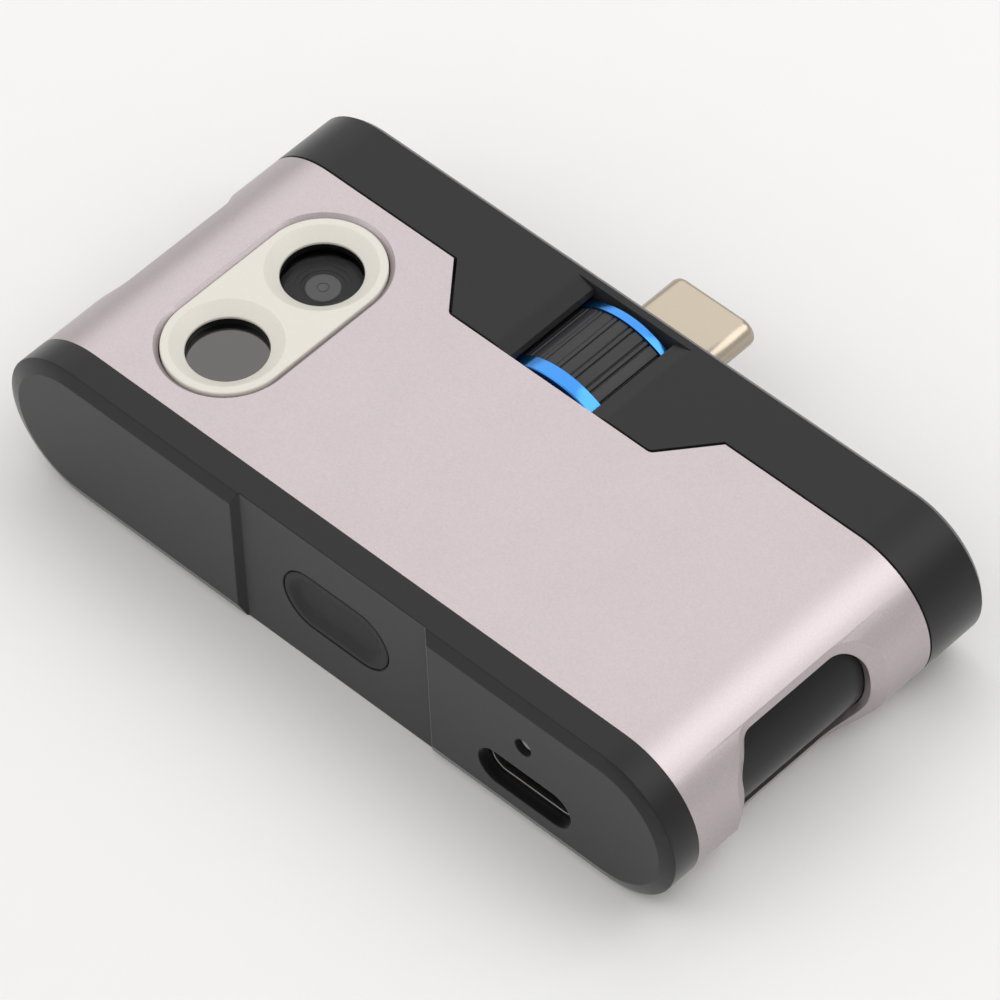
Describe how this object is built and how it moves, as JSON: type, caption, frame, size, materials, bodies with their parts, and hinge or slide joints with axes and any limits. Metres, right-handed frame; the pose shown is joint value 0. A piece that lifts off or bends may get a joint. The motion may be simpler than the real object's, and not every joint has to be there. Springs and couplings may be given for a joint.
{
  "type": "plug-in thermal camera",
  "caption": "Plug-in thermal camera: flat round-ended bar with a lens bezel, a thumb dial that slides the plug in and out, a push button and a charging port.",
  "frame": {"origin": "centre of the flat back face, which is opposite the lenses", "axes": "+X along the length, away from the lenses; +Y the way the plug points; +Z the way the lenses look"},
  "size_m": [0.068, 0.0417, 0.014],
  "materials": {
    "sleeve_metal": "satin",
    "cap_plastic": "soft_touch",
    "frame_plastic": "satin",
    "bezel_plastic": "satin",
    "adhesive_film": "matt",
    "dial_metal": "anodised",
    "tread_rubber": "matt",
    "washer_plastic": "matt",
    "retainer_steel": "brushed",
    "screw_steel": "plated",
    "collar_plastic": "satin",
    "plug_metal": "plated",
    "plug_plastic": "satin",
    "contact_gold": "plated",
    "port_metal": "plated",
    "button_rubber": "soft_touch",
    "switch_plastic": "satin",
    "light_resin": "clear",
    "lamp_resin": "gloss",
    "board_resin": "lacquered",
    "chip_resin": "matt",
    "can_steel": "tinned",
    "connector_plastic": "matt",
    "lead_film": "satin",
    "battery_foil": "satin",
    "pad_foam": "matt",
    "core_metal": "black_oxide",
    "germanium": "mirror",
    "shutter_steel": "blackened",
    "coil_copper": "wound",
    "camera_plastic": "matt",
    "camera_glass": "clear",
    "eye_glass": "coated"
  },
  "bodies": {
    "case": {"battery": "battery_foil", "battery_lead": "lead_film", "battery_pads": "pad_foam", "bezel_adhesive": "adhesive_film", "board_connectors": "connector_plastic", "board_screws": "screw_steel", "button_board": "board_resin", "button_board_screws": "screw_steel", "button_flex": "lead_film", "camera_board": "board_resin", "camera_bracket": "connector_plastic", "camera_eye": "camera_plastic", "camera_flex": "lead_film", "camera_housing": "camera_plastic", "camera_lens": "eye_glass", "camera_window": "camera_glass", "charging_port_contacts": "contact_gold", "charging_port_shell": "port_metal", "charging_port_tongue": "plug_plastic", "core_base_board": "board_resin", "core_housing": "core_metal", "core_lens": "germanium", "core_lens_barrel": "core_metal", "core_sensor": "chip_resin", "core_socket": "connector_plastic", "dial_retainer_screws": "screw_steel", "dial_retainers": "retainer_steel", "dial_washer": "washer_plastic", "inner_frame": "frame_plastic", "lens_bezel": "bezel_plastic", "light_pipe": "light_resin", "main_board": "board_resin", "plug_cap": "cap_plastic", "plug_flex": "lead_film", "port_cap": "cap_plastic", "power_chip": "chip_resin", "power_shield": "can_steel", "processor_chip": "chip_resin", "processor_shield": "can_steel", "shutter_coil": "coil_copper", "shutter_pin": "shutter_steel", "sleeve": "sleeve_metal", "status_led": "lamp_resin", "tact_switch": "switch_plastic", "thermal_window": "germanium"},
    "dial": {"dial_ring": "dial_metal", "dial_tread": "tread_rubber"},
    "connector": {"thread_collar": "collar_plastic", "plug_shell": "plug_metal", "plug_insulator": "plug_plastic", "plug_contacts": "contact_gold"},
    "button": {"power_button": "button_rubber", "switch_actuator": "switch_plastic"},
    "shutter": {"shutter_flag": "shutter_steel"}
  },
  "joints": [
    {"name": "dial_turn", "type": "hinge", "parent": "case", "child": "dial", "pos_m": [0, 0.0112, 0.007], "axis": [0, 1, 0], "range_deg": [-270, 450]},
    {"name": "connector_slide", "type": "slide", "parent": "case", "child": "connector", "axis": [0, 1, 0], "range_m": [-0.0015, 0.0025], "deforming": ["plug_flex"]},
    {"name": "power_button_press", "type": "slide", "parent": "case", "child": "button", "axis": [0, 1, 0], "range_m": [0, 0.0003], "stiffness_N_per_m": 400, "springref_m": -0.0005},
    {"name": "shutter_swing", "type": "hinge", "parent": "case", "child": "shutter", "pos_m": [-0.02445, -0.01041, 0.00657], "axis": [0, 0, 1], "range_deg": [0, 38]}
  ],
  "couplings": [
    {"joint": "connector_slide", "follows": "dial_turn", "m_per_rad": 0.0003183}
  ]
}
